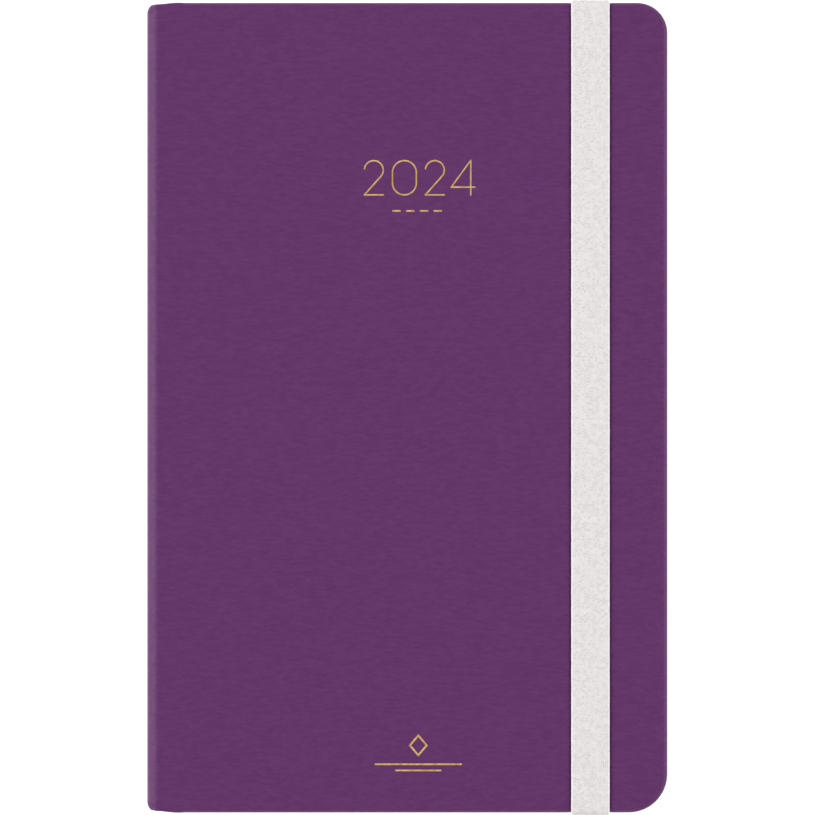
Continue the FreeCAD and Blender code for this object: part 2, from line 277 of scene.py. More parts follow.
def rest_position(tree, scale=(1, 1, 1)):
    """The point's place at rest, in metres, so that patterns stay put when a piece bends."""
    attribute = node(tree, "ShaderNodeAttribute", attribute_name="rest")
    scaled = node(
        tree,
        "ShaderNodeVectorMath",
        {0: attribute.outputs["Vector"], 1: scale},
        operation="MULTIPLY",
    )
    return scaled.outputs[0]


def object_position(tree):
    """Object coordinates, for a rigid piece that never bends."""
    return node(tree, "ShaderNodeTexCoord").outputs["Object"]


def noise(tree, vector, scale, detail=2.0, roughness=0.5):
    links = {"Vector": vector, "Scale": scale, "Detail": detail, "Roughness": roughness}
    return node(tree, "ShaderNodeTexNoise", links).outputs["Fac"]


def colour_ramp(tree, factor, stops):
    n = node(tree, "ShaderNodeValToRGB", {"Fac": factor})
    elements = n.color_ramp.elements
    while len(elements) < len(stops):
        elements.new(0.5)
    for element, (place, colour) in zip(elements, stops):
        element.position = place
        element.color = (*colour, 1.0)
    return n.outputs["Color"]


def blend_colours(tree, factor, a, b):
    n = tree.nodes.new("ShaderNodeMix")
    n.data_type = "RGBA"
    for key, value in (("Factor", factor), ("A", a), ("B", b)):
        socket = [s for s in n.inputs if s.name == key and s.enabled][0]
        if isinstance(value, bpy.types.NodeSocket):
            tree.links.new(value, socket)
        else:
            socket.default_value = value
    return [s for s in n.outputs if s.enabled][0]


def bump(tree, shader, height, strength, distance):
    links = {"Height": height, "Strength": strength, "Distance": distance * MM}
    n = node(tree, "ShaderNodeBump", links)
    tree.links.new(n.outputs["Normal"], shader.inputs["Normal"])


# ---- materials ----------------------------------------------------------------------------
# Colours are linear.
PURPLE_LOW = (0.095, 0.0165, 0.107)
PURPLE_HIGH = (0.100, 0.0190, 0.112)
PURPLE_WRINKLE_HIGHLIGHT = (0.124, 0.030, 0.138, 1.0)  # painted highlight on the tops of the wrinkles
PURPLE_WORN_AND_HIGHLIGHT = (0.235, 0.110, 0.225, 1.0)  # rubbed edges, and a painted highlight on the spine's rounding
YARN_LOW = (0.729, 0.698, 0.688)
YARN_HIGH = (0.815, 0.784, 0.774)
# painted shade in the gaps between the stitches
YARN_GAP_SHADE = (0.46, 0.44, 0.44, 1.0)
YARN_EDGE = (0.98, 0.95, 0.98, 1.0)  # selvedges
PRINTED_RULE = (0.42, 0.33, 0.45, 1.0)
GOLD_LOW = (0.80, 0.48, 0.15)
GOLD_HIGH = (1.0, 0.73, 0.27)
WARM_EDGE = (0.62, 0.57, 0.49, 1.0)  # cut edges of the paper


def leatherette_material():
    """Purple leatherette: fine wrinkles along X whose tops carry a painted highlight, pebble
    grain, slightly worn edges, and a painted highlight on the spine's rounding.
    """
    material, tree, shader = new_material(
        "leatherette",
        Specular_IOR_Level=0.28,
        Sheen_Weight=0.03,
        Sheen_Roughness=0.45,
        Sheen_Tint=(0.80, 0.55, 0.85, 1.0),
    )
    place = rest_position(tree)
    mottle = noise(tree, place, 70.0, 4.0, 0.6)
    base = colour_ramp(tree, mottle, [(0.25, PURPLE_LOW), (0.75, PURPLE_HIGH)])
    wrinkle = noise(tree, rest_position(tree, (0.33, 1.0, 1.0)), 1500.0, 2.0, 0.5)
    crease = noise(tree, rest_position(tree, (0.45, 1.2, 1.0)), 800.0, 2.0, 0.5)
    lines = maths(tree, "MULTIPLY_ADD", crease, 0.35, maths(tree, "MULTIPLY", wrinkle, 0.65))
    # painted highlight: the wrinkles' tops are coloured lighter than their hollows
    wrinkle_highlight = node(
        tree, "ShaderNodeMapRange", {"Value": lines, "From Min": 0.40, "From Max": 0.62}
    ).outputs[0]
    wrinkle_lit = blend_colours(tree, maths(tree, "MULTIPLY", wrinkle_highlight, 0.62), base, PURPLE_WRINKLE_HIGHLIGHT)
    edge = node(tree, "ShaderNodeAttribute", attribute_name="edge").outputs["Fac"]
    patchy = noise(tree, place, 260.0, 3.0, 0.6)
    # lighter purple: rubbed wear at the outer edges, and a painted highlight on the spine's
    # rounding
    wear_and_highlight = maths(tree, "MULTIPLY", edge, maths(tree, "MULTIPLY", patchy, 0.18))
    coloured = blend_colours(tree, wear_and_highlight, wrinkle_lit, PURPLE_WORN_AND_HIGHLIGHT)
    tree.links.new(coloured, shader.inputs["Base Color"])

    pebble = node(
        tree,
        "ShaderNodeTexVoronoi",
        {"Vector": rest_position(tree, (0.6, 1.15, 1.0)), "Scale": 1300.0, "Smoothness": 0.6},
        feature="SMOOTH_F1",
    ).outputs["Distance"]
    height = maths(tree, "MULTIPLY_ADD", pebble, 0.5, lines)
    bump(tree, shader, height, 0.35, 0.22)
    rough = node(
        tree,
        "ShaderNodeMapRange",
        {"Value": lines, "From Min": 0.3, "From Max": 0.7, "To Min": 0.60, "To Max": 0.50},
    )
    tree.links.new(rough.outputs[0], shader.inputs["Roughness"])
    return material


def elastic_material():
    """White knitted elastic: columns of small stitches between two whiter selvedges, with
    painted shade in the gaps between the stitches.
    """
    material, tree, shader = new_material(
        "woven_elastic", Roughness=0.82, Sheen_Weight=0.25, Sheen_Roughness=0.5
    )
    across = node(tree, "ShaderNodeAttribute", attribute_name="across").outputs["Fac"]
    along = node(tree, "ShaderNodeAttribute", attribute_name="along").outputs["Fac"]
    column = maths(tree, "MULTIPLY", across, 2 * math.pi / WALE)
    wale = maths(tree, "FLOOR", maths(tree, "DIVIDE", across, WALE))
    start = node(tree, "ShaderNodeTexWhiteNoise", {"W": wale}, noise_dimensions="1D")
    course = maths(tree, "ADD", start.outputs["Value"], maths(tree, "DIVIDE", along, COURSE))
    row = maths(tree, "MULTIPLY", course, 2 * math.pi)
    cell = node(
        tree, "ShaderNodeCombineXYZ", {"X": wale, "Y": maths(tree, "FLOOR", course)}
    ).outputs[0]
    chance = node(tree, "ShaderNodeTexWhiteNoise", {"Vector": cell}).outputs["Value"]
    column_wave = maths(tree, "MULTIPLY_ADD", maths(tree, "COSINE", column), -0.5, 0.5)
    row_wave = maths(tree, "MULTIPLY_ADD", maths(tree, "COSINE", row), 0.5, 0.5)
    stitch = maths(tree, "MULTIPLY", column_wave, row_wave)
    fibres = noise(tree, rest_position(tree, (1.0, 0.3, 1.0)), 9000.0, 2.0, 0.6)
    patches = noise(tree, rest_position(tree), 500.0, 3.0, 0.6)
    # painted shade where the stitches part
    gap_shade = maths(tree, "POWER", maths(tree, "SUBTRACT", 1.0, stitch), 3.0)
    gap_shade = maths(tree, "MULTIPLY", gap_shade, maths(tree, "POWER", chance, 1.4))
    height = maths(tree, "MULTIPLY_ADD", fibres, 0.35, stitch)
    tone = maths(tree, "MULTIPLY_ADD", patches, 0.5, maths(tree, "MULTIPLY", fibres, 0.5))
    yarn = colour_ramp(tree, tone, [(0.30, YARN_LOW), (0.70, YARN_HIGH)])
    gap_shade_mix = maths(tree, "MULTIPLY", gap_shade, 0.50)
    colour = blend_colours(tree, gap_shade_mix, yarn, YARN_GAP_SHADE)
    half = (BAND_HIGH[0] - BAND_LOW[0]) / 2
    from_middle = maths(tree, "ABSOLUTE", maths(tree, "SUBTRACT", across, half))
    selvedge = node(
        tree,
        "ShaderNodeMapRange",
        {
            "Value": from_middle,
            "From Min": half - WHITE_EDGE,
            "From Max": half - FULL_WHITE,
            "To Max": 0.8,
        },
    ).outputs[0]
    colour = blend_colours(tree, selvedge, colour, YARN_EDGE)
    tree.links.new(colour, shader.inputs["Base Color"])
    bump(tree, shader, height, 0.55, 0.10)
    return material


def paper_material(name, light, dark, printed=False):
    """Uncoated paper: fibres in colour and bump; printed sheets carry plain pale rules."""
    material, tree, shader = new_material(name, Roughness=0.88, Specular_IOR_Level=0.25)
    place = rest_position(tree)
    fibre = noise(tree, rest_position(tree, (1.0, 0.45, 1.0)), 2600.0, 4.0, 0.65)
    cloud = noise(tree, place, 70.0, 3.0, 0.5)
    tone = maths(tree, "MULTIPLY_ADD", fibre, 0.5, maths(tree, "MULTIPLY", cloud, 0.5))
    colour = colour_ramp(tree, tone, [(0.30, dark), (0.70, light)])
    if printed:
        rules = ruled_mask(tree, place)
        colour = blend_colours(tree, rules, colour, PRINTED_RULE)
    edge = node(tree, "ShaderNodeAttribute", attribute_name="edge").outputs["Fac"]
    colour = blend_colours(tree, maths(tree, "MULTIPLY", edge, 0.65), colour, WARM_EDGE)
    tree.links.new(colour, shader.inputs["Base Color"])
    bump(tree, shader, fibre, 0.12, 0.03)
    return material


def ruled_mask(tree, place):
    """Thin rules inside the margins, an upright one in the middle, a thick one at the head."""
    parts = node(tree, "ShaderNodeSeparateXYZ", {"Vector": place})
    x = maths(tree, "DIVIDE", parts.outputs["X"], MM)
    y = maths(tree, "DIVIDE", parts.outputs["Y"], MM)
    line = maths(tree, "LESS_THAN", maths(tree, "PINGPONG", y, RULE_PITCH / 2), RULE_HALF)
    in_x = band_mask(tree, x, RULE_LEFT, RULE_RIGHT)
    in_y = band_mask(tree, y, RULE_TAIL, RULE_HEAD)
    body = maths(tree, "MULTIPLY", maths(tree, "MULTIPLY", line, in_x), in_y)
    head = maths(tree, "MULTIPLY", band_mask(tree, y, *HEAD_RULE), in_x)
    middle = (RULE_LEFT + RULE_RIGHT) / 2
    upright = band_mask(tree, x, middle - UPRIGHT_HALF, middle + UPRIGHT_HALF)
    column = maths(tree, "MULTIPLY", upright, in_y)
    total = maths(tree, "MAXIMUM", maths(tree, "MAXIMUM", body, head), column)
    return maths(tree, "MULTIPLY", total, 0.55)


def band_mask(tree, value, low, high):
    """1 between low and high, 0 elsewhere."""
    above = maths(tree, "GREATER_THAN", value, low)
    return maths(tree, "MULTIPLY", above, maths(tree, "LESS_THAN", value, high))


def foil_material():
    """Hot-stamped gold foil, slightly uneven where it follows the grain."""
    material, tree, shader = new_material("gold_foil", Metallic=1.0)
    place = object_position(tree)
    patch = noise(tree, place, 900.0, 3.0, 0.6)
    colour = colour_ramp(tree, patch, [(0.30, GOLD_LOW), (0.72, GOLD_HIGH)])
    tree.links.new(colour, shader.inputs["Base Color"])
    grain = noise(tree, place, 3200.0, 3.0, 0.6)
    bump(tree, shader, grain, 0.35, 0.05)
    rough = node(
        tree,
        "ShaderNodeMapRange",
        {"Value": patch, "From Min": 0.3, "From Max": 0.7, "To Min": 0.42, "To Max": 0.55},
    )
    tree.links.new(rough.outputs[0], shader.inputs["Roughness"])
    return material


def fibre_material(name, light, dark, scale, strength):
    """Board, liner, mull and thread: fibres of one colour family."""
    material, tree, shader = new_material(name, Roughness=0.9, Specular_IOR_Level=0.2)
    grain = noise(tree, object_position(tree), scale, 5.0, 0.7)
    colour = colour_ramp(tree, grain, [(0.3, dark), (0.7, light)])
    tree.links.new(colour, shader.inputs["Base Color"])
    bump(tree, shader, grain, strength, 0.05)
    return material


def band_cloth_material():
    """Striped cotton of the head and tail bands."""
    material, tree, shader = new_material(
        "band_cloth", Roughness=0.85, Sheen_Weight=0.3, Sheen_Roughness=0.4
    )
    parts = node(tree, "ShaderNodeSeparateXYZ", {"Vector": rest_position(tree)})
    turns = maths(tree, "DIVIDE", parts.outputs["Z"], 2 * STRIPE * MM)
    wave = maths(tree, "SINE", maths(tree, "MULTIPLY", turns, 2 * math.pi))
    purple = maths(tree, "GREATER_THAN", wave, 0.0)
    fibres = noise(tree, rest_position(tree), 7000.0, 3.0, 0.6)
    white = colour_ramp(tree, fibres, [(0.3, (0.66, 0.64, 0.61)), (0.7, (0.84, 0.82, 0.79))])
    dyed = colour_ramp(tree, fibres, [(0.3, (0.10, 0.03, 0.11)), (0.7, (0.17, 0.06, 0.18))])
    tree.links.new(blend_colours(tree, purple, white, dyed), shader.inputs["Base Color"])
    bump(tree, shader, fibres, 0.3, 0.04)
    return material


leatherette = leatherette_material()
elastic_cloth = elastic_material()
endpaper = paper_material("endpaper", (0.73, 0.70, 0.625), (0.68, 0.65, 0.58))
page_paper = paper_material("page_paper", (0.77, 0.75, 0.685), (0.72, 0.70, 0.64), printed=True)
gold_foil = foil_material()
greyboard = fibre_material("greyboard", (0.36, 0.34, 0.31), (0.24, 0.22, 0.20), 900.0, 0.5)
liner_paper = fibre_material("liner_paper", (0.62, 0.52, 0.40), (0.50, 0.41, 0.30), 1500.0, 0.3)
mull_cloth = fibre_material("mull", (0.84, 0.83, 0.79), (0.60, 0.59, 0.55), 2500.0, 0.8)
linen_thread = fibre_material("thread", (0.90, 0.88, 0.83), (0.72, 0.70, 0.65), 6000.0, 0.6)
band_cloth = band_cloth_material()


# ---- covers -------------------------------------------------------------------------------
class Station:
    """One cut across the leatherette, at right angles to the spine's profile."""

    def __init__(self, x, z, normal):
        self.x, self.z, self.normal = x, z, normal
        self.spine_wear_and_highlight = 2.0 * max(-normal[0], 0.0) ** 0.5  # painted highlight and wear, most on the spine's back, which faces the key light
        spine = smooth((-normal[0] - 0.15) / 0.5)  # 0 on the flat, 1 on the spine's back
        board = smooth(x - (X_BOARD - 0.6))  # 0 over the joint, 1 over the board
        self.half_y = HALF_H - (HALF_H - SPINE_HALF_H) * smooth((X_BOARD - 1.5 - x) / 5.5)
        self.depth = mix(mix(JOINT_T, COVER_T, board), SPINE_T, spine)
        self.edge_inset = mix(mix(JOINT_EDGE_R, EDGE_R, board), SPINE_CORNER, spine)
        self.edge_depth = mix(mix(JOINT_EDGE_R, EDGE_R, board), SPINE_EDGE, spine)
        self.inner_r = mix(mix(JOINT_INNER_R, INNER_R, board), JOINT_INNER_R, spine)
        self.turn_in = mix(mix(JOINT_TURN_IN, TURN_IN, board), SPINE_TURN_IN, spine)
        away = abs(x - (BAND_LOW[0] + BAND_HIGH[0]) / 2) - (BAND_HIGH[0] - BAND_LOW[0]) / 2
        reach, width = PRESS_EDGE
        self.press = PRESS * smooth((reach - away) / width)  # the elastic's imprint

    def at(self, kind, value, layer):
        """Inset from the edge and depth under the outer face. layer is how deep in the skin."""
        press = 0.0 if layer else self.press
        if kind == "flat":
            return value, layer + press
        a = math.radians(value)
        if kind == "upper":
            inset = self.edge_inset - (self.edge_inset - layer) * math.sin(a)
            inset += press * math.sin(a)
            return inset, self.edge_depth - (self.edge_depth - layer - press) * math.cos(a)
        if kind == "lower":
            inset = self.inner_r - (self.inner_r - layer) * math.cos(a)
            return inset, self.depth - self.inner_r + (self.inner_r - layer) * math.sin(a)
        return min(value, self.turn_in), self.depth - layer


def flat_places():
    """X places of the cuts on the flat of the cover, close together where it bends."""
    places = list(np.arange(X_SPINE + SPINE_ROUND + 0.3, X_HINGE - HINGE_ZONE - 0.1, 0.3))
    places += list(np.linspace(X_HINGE - HINGE_ZONE, X_HINGE + HINGE_ZONE, 15))
    places += list(np.linspace(X_HINGE + HINGE_ZONE + 0.2, X_BOARD + 0.8, 10))
    places += list(np.linspace(X_BOARD + 3.0, BAND_LOW[0] - 2.0, 18))
    places += list(np.linspace(BAND_LOW[0] - 0.8, BAND_LOW[0] + 0.1, 7))
    places += list(np.linspace(BAND_LOW[0] + 1.0, BAND_HIGH[0] - 1.0, 4))
    places += list(np.linspace(BAND_HIGH[0] - 0.1, BAND_HIGH[0] + 0.8, 7))
    places += list(np.linspace(BAND_HIGH[0] + 2.0, X_FORE - FLAT_INSET, 4))
    return places


def profile():
    """Cuts from the middle of the spine, round its edge and over the front cover."""
    stations = [
        Station(X_SPINE, z, (-1, 0)) for z in np.linspace(THICK / 2, THICK - SPINE_ROUND, 6)
    ]
    for a in np.radians(np.linspace(0, 90, 15)[1:]):
        x = X_SPINE + SPINE_ROUND * (1 - math.cos(a))
        z = THICK - SPINE_ROUND * (1 - math.sin(a))
        stations.append(Station(x, z, (-math.cos(a), math.sin(a))))
    return stations + [Station(x, THICK, (0, 1)) for x in flat_places()]


RINGS = (
    [("flat", d) for d in (FLAT_INSET, 7.5, 5.5, 3.8, SPINE_CORNER + 0.1)]
    + [("upper", a) for a in (0, 12, 24, 36, 48, 60, 72, 81, 90)]
    + [("lower", a) for a in (0, 22, 45, 68, 90)]
    + [("under", d) for d in (1.3, 2.0, 2.8, 4.0, 5.5, 7.5, FLAT_INSET, TURN_IN)]
)
ROWS = [math.sin(math.radians(a)) for a in np.linspace(90, -90, 41)]


def pleat(angle, kind, value):
    """Small folds of the turned-in leatherette round the corners, on the inner face."""
    if kind != "under":
        return 0.0
    fade = smooth((value - 0.7) / 1.3) * smooth((6.0 - value) / 2.0)
    return PLEAT_DEPTH * fade * (0.5 - 0.5 * math.cos(2 * PLEAT_COUNT * angle))


def corner_arc(radius, inset, z, kind, value):
    """Points round a fore-edge corner of this radius, on a line inset from the edge."""
    r = max(radius - inset, 0.0)
    middle = max(inset, radius)
    arc = []
    for a in np.radians(np.linspace(90, 0, 19)[:-1]):
        x = X_FORE - middle + r * math.cos(a)
        y = HALF_H - middle + r * math.sin(a)
        arc.append((x, y, z - pleat(2 * a, kind, value)))
    return arc


def cover_ring(stations, kind, value, layer):
    """Points along head, corner, fore-edge, corner and tail at one step round the edge."""
    head = []
    for s in stations:
        inset, depth = s.at(kind, value, layer)
        x = min(s.x - s.normal[0] * depth, X_FORE - max(inset, FLAT_INSET))
        head.append((x, s.half_y - inset, s.z - s.normal[1] * depth))
    inset, depth = stations[-1].at(kind, value, layer)
    z = THICK - depth
    at_head = HALF_H - max(inset, HEAD_CORNER)
    at_tail = HALF_H - max(inset, TAIL_CORNER)
    side = [(X_FORE - inset, mix(-at_tail, at_head, (f + 1) / 2), z) for f in ROWS]
    tail = head + corner_arc(TAIL_CORNER, inset, z, kind, value)
    head = head + corner_arc(HEAD_CORNER, inset, z, kind, value)
    return head + side + [(x, -y, z) for x, y, z in reversed(tail)]


def cover_layer(stations, layer):
    """Points of the leatherette's outer face (layer 0) or of its glued face (layer SKIN)."""
    points = []
    for s in stations:
        inset, depth = s.at("flat", FLAT_INSET, layer)
        x = s.x - s.normal[0] * depth
        points += [(x, f * (s.half_y - inset), s.z - s.normal[1] * depth) for f in ROWS]
    for kind, value in RINGS:
        points += cover_ring(stations, kind, value, layer)
    return points


def closed_shell(outer, inner, faces):
    """Faces of both layers and of the rim between them, with coinciding points shared."""
    first = {}
    keys = [tuple(round(c, 3) + 0.0 for c in p) for p in outer]
    same = [first.setdefault(key, i) for i, key in enumerate(keys)]
    total = len(outer)
    shell = []
    directed = set()
    for face in faces:
        kept = []
        for i in face:
            if same[i] not in kept:
                kept.append(same[i])
        if len(kept) > 2:
            shell.append(kept)
            directed.update(zip(kept, kept[1:] + kept[:1]))
    shell += [[i + total for i in reversed(face)] for face in shell]
    rim = [(a, b) for a, b in sorted(directed) if (b, a) not in directed]
    shell += [(b, a, a + total, b + total) for a, b in rim]
    return outer + inner, shell


def cover_wrap(name, upper):
    """Leatherette from the middle of the spine over one cover, turned in on three sides."""
    stations = profile()
    if not upper:
        for s in stations:
            s.press = 0.0  # the elastic doesn't cross the back cover's outer face
    outer = cover_layer(stations, 0.0)
    inner = cover_layer(stations, SKIN)
    grid = len(stations) * len(ROWS)
    count = (len(outer) - grid) // len(RINGS)
    faces = strip_faces(len(stations), len(ROWS), False)
    rings = strip_faces(len(RINGS), count, False)
    faces += [tuple(grid + i for i in f) for f in rings]
    points, faces = closed_shell(outer, inner, faces)
    # mask for the lighter purple: painted highlight and wear on the spine's back, rubbed wear on
    # the outer edges
    wear_and_highlight = [s.spine_wear_and_highlight for s in stations for f in ROWS]
    for kind, value in RINGS:
        on_edge = kind == "lower" or (kind == "upper" and value > 20)
        spine = [s.spine_wear_and_highlight if kind == "flat" else 0.0 for s in stations]
        rest = [0.0] * (count - 2 * len(stations))
        wear_and_highlight += [max(w, 1.0 if on_edge else 0.0) for w in spine + rest + spine[::-1]]
    if not upper:
        points = [(x, y, THICK - z) for x, y, z in points]
    return clean(mesh_piece(name, points, faces, {"edge": wear_and_highlight + wear_and_highlight}), 0.0005)


def boxes_cutter(boxes):
    """Boxes, each from its lowest and highest corner, as one cutter."""
    base_corners = [(0, 0), (1, 0), (1, 1), (0, 1)]
    corners = [(x, y, z) for z in (0, 1) for x, y in base_corners]
    quads = [(0, 3, 2, 1), (4, 5, 6, 7), (0, 1, 5, 4), (1, 2, 6, 5), (2, 3, 7, 6), (3, 0, 4, 7)]
    points = []
    faces = []
    for low, high in boxes:
        base = len(points)
        for c in corners:
            points.append([high[i] if c[i] else low[i] for i in range(3)])
        faces += [[base + i for i in q] for q in quads]
    return mesh_piece("cutter", points, faces)


def foil_cutter():
    """The foil's own outline, standing up through the leatherette's surface."""
    bm = bmesh.new()
    for name in ("foil_year", "foil_dashes", "foil_ornament"):
        bm.from_mesh(nodes[name].data)
    bmesh.ops.remove_doubles(bm, verts=bm.verts, dist=1e-7)
    middle = (extent("foil_year")[0][2] + extent("foil_year")[1][2]) / 2 * MM
    for vert in bm.verts:
        if vert.co.z > middle:
            vert.co.z = (THICK + CUT_ABOVE) * MM
    mesh = bpy.data.meshes.new("cutter")
    bm.to_mesh(mesh)
    bm.free()
    cutter = bpy.data.objects.new("cutter", mesh)
    bpy.context.scene.collection.objects.link(cutter)
    return cutter


def add_covers():
    front = cover_wrap("front_cover_wrap", True)
    cut(front, foil_cutter())
    finish_piece(front, leatherette)
    hinge_blend(front)
    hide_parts("front_cover_skin", "spine_skin")

    back = cover_wrap("back_cover_wrap", False)
    channels = []
    for side in (1, -1):
        inner, outer = TAB_LOW[1] - CHANNEL_GAP, HALF_H + CHANNEL_PAST
        y_low, y_high = sorted((side * inner, side * outer))
        low = (TAB_LOW[0] - CHANNEL_GAP, y_low, TAB_LOW[2] - CHANNEL_FLOOR)
        high = (TAB_HIGH[0] + CHANNEL_GAP, y_high, TAB_HIGH[2] + CHANNEL_OPEN)
        channels.append((low, high))
    cut(back, boxes_cutter(channels))
    finish_piece(back, leatherette)
    hinge_blend(back)
    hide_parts("back_cover_skin")


def hinge_blend(piece):
    """Bakes the piece's placement into its mesh; the piece is not bent."""
    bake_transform(piece)


# ---- sheets of paper ----------------------------------------------------------------------
def sheet_points(line, half_y, corners, rows):
    """Points of a sheet that follows line, a list of (x, z). corners holds the plan radii of
    its far corners, at the head and at the tail."""
    x_last = line[-1][0]
    points = []
    for x, z in line:
        ends = []
        for r in corners:
            into = max(0.0, x - (x_last - r))
            ends.append(half_y - (r - math.sqrt(max(r**2 - into**2, 0.0))))
        for f in rows:
            points.append((x, mix(-ends[1], ends[0], (f + 1) / 2), z))
    return points


def paper_sheet(name, line, half_y, corners, depth):
    """One sheet of paper along line, depth thick."""
    rows = np.linspace(1, -1, 25)
    points = sheet_points(line, half_y, corners, rows)
    faces = [tuple(reversed(f)) for f in strip_faces(len(line), len(rows), False)]
    piece = mesh_piece(name, points, faces)
    m = piece.modifiers.new("thick", "SOLIDIFY")
    m.thickness = depth * MM
    m.offset = 0
    return apply_modifiers(piece)


def corner_places(x_last, corner):
    """X places across a round corner, closer together towards the edge."""
    return [x_last - corner * (1 - math.sin(a)) for a in np.radians(np.linspace(0, 90, 12))]


def endpaper_line():
    """From the block, up into the joint and down again onto the board's inner face."""
    z_flat = (Z_INSIDE + Z_PASTED) / 2
    low = X_HINGE - 3.3
    high = X_BOARD + 0.2
    line = []
    for t in np.linspace(0, 1, 41):
        x = mix(low, high, t)
        inside = JOINT_HALF - abs(x - X_HINGE)
        line.append((x, z_flat + JOINT_RISE * smooth(inside / JOINT_SLOPE)))
    largest = max(PASTED_CORNERS)
    places = list(np.linspace(high + 4, PASTED_FORE - largest - 1, 12))
    places += corner_places(PASTED_FORE, largest)
    line += [(x, z_flat) for x in places]
    return line


def add_endpapers():
    depth = (Z_INSIDE - Z_PASTED) * PASTED_SHARE
    line = endpaper_line()
    front = paper_sheet("front_endpaper", line, PASTED_HALF, PASTED_CORNERS, depth)
    finish_piece(front, endpaper)
    hinge_blend(front)
    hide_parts("front_pastedown")
    mirrored = [(x, THICK - z) for x, z in line]
    back = paper_sheet("back_endpaper", mirrored, PASTED_HALF, PASTED_CORNERS, depth)
    finish_piece(back, endpaper)
    hinge_blend(back)
    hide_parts("back_pastedown")


def leaf_line(z):
    """From the fold of the pages to the fore-edge, with close cuts where the leaf bends."""
    places = [X_FOLD + 0.35]
    places += list(np.linspace(X_FOLD + 2.5, X_GUTTER, 3))
    places += list(np.linspace(X_GUTTER, X_GUTTER + LEAF_ZONE, 25)[1:])
    places += list(np.linspace(X_GUTTER + LEAF_ZONE + 5, X_PAGE - PAGE_CORNER - 1, 14))
    places += corner_places(X_PAGE, PAGE_CORNER)
    return [(x, z) for x in places]


def add_turning_leaves():
    leaves = [n for n in nodes if n.startswith("leaf_")]
    for name in sorted(leaves) + ["front_flyleaf"]:
        low, high = extent(name)
        line = leaf_line((low[2] + high[2]) / 2)
        depth = (high[2] - low[2]) * SHEET_SHARE
        piece = paper_sheet(name + "_sheet", line, PAGE_HALF, PAGE_CORNERS, depth)
        if name == "front_flyleaf":
            finish_piece(piece, endpaper)
        else:
            finish_piece(piece, page_paper)
        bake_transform(piece)
        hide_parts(name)


def page_outline(x_fold, x_edge, half_y):
    """Plan of one cut sheet, with its two fore-edge corners round."""
    r = PAGE_CORNER
    points = [(x_fold, -half_y)]
    for a in np.radians(np.linspace(-90, 0, 9)):
        points.append((x_edge - r + r * math.cos(a), -half_y + r + r * math.sin(a)))
    for a in np.radians(np.linspace(0, 90, 9)):
        points.append((x_edge - r + r * math.cos(a), half_y - r + r * math.sin(a)))
    points.append((x_fold, half_y))
    return points


def add_signatures():
    """Each signature is eight leaves of its own, folded round at the spine."""
    rng = random.Random(7)
    for name in sorted(n for n in nodes if n.startswith("signature_")):
        low, high = extent(name)
        if high[2] > Z_PASTED - 0.01:
            high[2] = extent("leaf_5")[0][2]
        pitch = (high[2] - low[2] - SIGNATURE_GAP) / LEAVES_PER_SIGNATURE
        trim = rng.uniform(0.0, 0.10)
        points = []
        faces = []
        edge = []
        for i in range(LEAVES_PER_SIGNATURE):
            u = (i + 0.5) / LEAVES_PER_SIGNATURE * 2 - 1
            fold = X_FOLD + FOLD_ROUND * (1 - math.sqrt(1 - (FOLD_REACH * u) ** 2))
            x_edge = X_PAGE - trim - rng.uniform(0.0, 0.08)
            half_y = PAGE_HALF - trim * 0.8 - rng.uniform(0.0, 0.06)
            z0 = low[2] + i * pitch + rng.uniform(0.002, 0.010)
            z1 = low[2] + (i + 1) * pitch - rng.uniform(0.008, 0.018)
            outline = page_outline(fold, x_edge, half_y)
            base = len(points)
            count = len(outline)
            points += [(x, y, z0) for x, y in outline] + [(x, y, z1) for x, y in outline]
            faces.append([base + k for k in reversed(range(count))])
            faces.append([base + count + k for k in range(count)])
            for k in range(count):
                n = (k + 1) % count
                faces.append((base + k, base + n, base + count + n, base + count + k))
            edge += [rng.uniform(0.0, 1.0) ** 2] * (2 * count)
        piece = mesh_piece(name + "_leaves", points, faces, {"edge": edge})
        finish_piece(piece, page_paper)
        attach(piece, "text_block")
        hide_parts(name)


def add_back_flyleaf():
    low, high = extent("back_flyleaf")
    places = [X_FOLD + 0.3] + list(np.linspace(X_FOLD + 8, X_PAGE - PAGE_CORNER - 1, 12))
    places += corner_places(X_PAGE, PAGE_CORNER)
    line = [(x, (low[2] + high[2]) / 2) for x in places]
    depth = (high[2] - low[2]) * SHEET_SHARE
    piece = paper_sheet("back_flyleaf_sheet", line, PAGE_HALF, PAGE_CORNERS, depth)
    finish_piece(piece, endpaper)
    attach(piece, "text_block")
    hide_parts("back_flyleaf")


